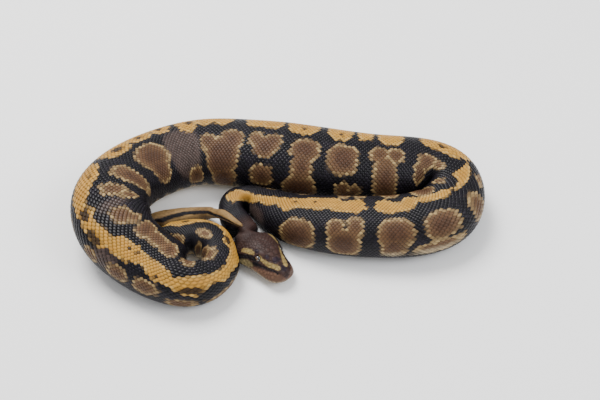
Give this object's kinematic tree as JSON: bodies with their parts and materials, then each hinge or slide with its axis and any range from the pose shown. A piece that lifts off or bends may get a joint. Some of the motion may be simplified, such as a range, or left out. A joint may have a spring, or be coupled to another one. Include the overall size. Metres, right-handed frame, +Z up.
{
  "type": "coiled ball python",
  "caption": "Coiled ball python as a still, life-size model: a thick loop resting flat on the floor, with the head laid in front of the coil.",
  "frame": {"origin": "middle of the coil's box, on the floor it rests on", "axes": "+X along the longest side of the coil, +Y away from the head, +Z up from the floor"},
  "size_m": [0.2242, 0.1248, 0.0361],
  "materials": {
    "skin": "dry smooth snake scales: blue-black ground, tan-brown blotches with pale beaded edges and a broken gold stripe along the back",
    "eye": "clear polished eye cap over a very dark brown iris with an upright slit pupil"
  },
  "bodies": {
    "root": {"head": "skin", "neck": "skin", "trunk_01": "skin", "trunk_02": "skin", "trunk_03": "skin", "trunk_04": "skin", "trunk_05": "skin", "trunk_06": "skin", "trunk_07": "skin", "trunk_08": "skin", "trunk_09": "skin", "trunk_10": "skin", "trunk_11": "skin", "trunk_12": "skin", "trunk_13": "skin", "trunk_14": "skin", "trunk_15": "skin", "tail_1": "skin", "tail_2": "skin", "eye_left": "eye", "eye_right": "eye"}
  },
  "joints": []
}
